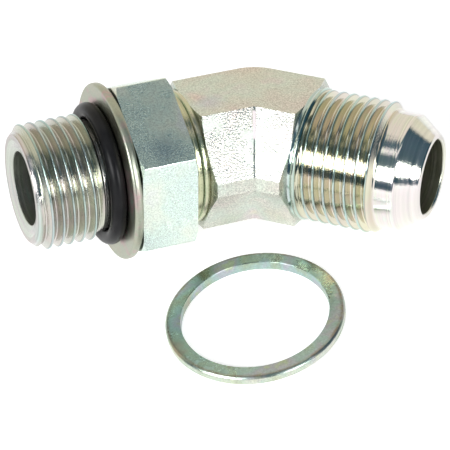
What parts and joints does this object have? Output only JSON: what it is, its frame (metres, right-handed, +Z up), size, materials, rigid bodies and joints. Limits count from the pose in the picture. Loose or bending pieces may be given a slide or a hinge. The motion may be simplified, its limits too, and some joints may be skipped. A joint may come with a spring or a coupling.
{
  "type": "45 degree elbow adapter fitting",
  "caption": "Forged 45 degree elbow for hydraulic tube: a flared-tube thread on one arm, and a stud end with locknut, back-up washer and O-ring on the other.",
  "frame": {"origin": "centre of the bounding box, on the surface that the fitting lies on", "axes": "+Z up from that surface, +X across the bend towards the flare end, +Y towards the outer side of the bend"},
  "size_m": [0.0728, 0.0582, 0.0321],
  "materials": {
    "plated_body": "forged and turned steel, zinc plated with a clear iridescent passivate",
    "plated_nut": "zinc plated steel with a fine grain",
    "plated_washer": "zinc plated steel",
    "seal_rubber": "satin black nitrile rubber",
    "plated_ring": "zinc plated steel with a blue-green passivate"
  },
  "bodies": {
    "elbow": {"elbow_body": "plated_body", "retaining_ring": "plated_ring"},
    "seal_pair": {"backup_washer": "plated_washer", "o_ring": "seal_rubber"},
    "nut": {"locknut": "plated_nut"}
  },
  "joints": [
    {"name": "washer_slide", "type": "slide", "parent": "elbow", "child": "seal_pair", "axis": [-0.9075, -0.3768, 0.1854], "range_m": [-0.00091, 0.00076]},
    {"name": "nut_turn", "type": "hinge", "parent": "seal_pair", "child": "nut", "pos_m": [-0.01364, 0.00845, 0.01606], "axis": [-0.9075, -0.3768, 0.1854], "range_deg": [-180, 150]}
  ],
  "couplings": [
    {"joint": "washer_slide", "follows": "nut_turn", "m_per_rad": 0.00028875}
  ]
}
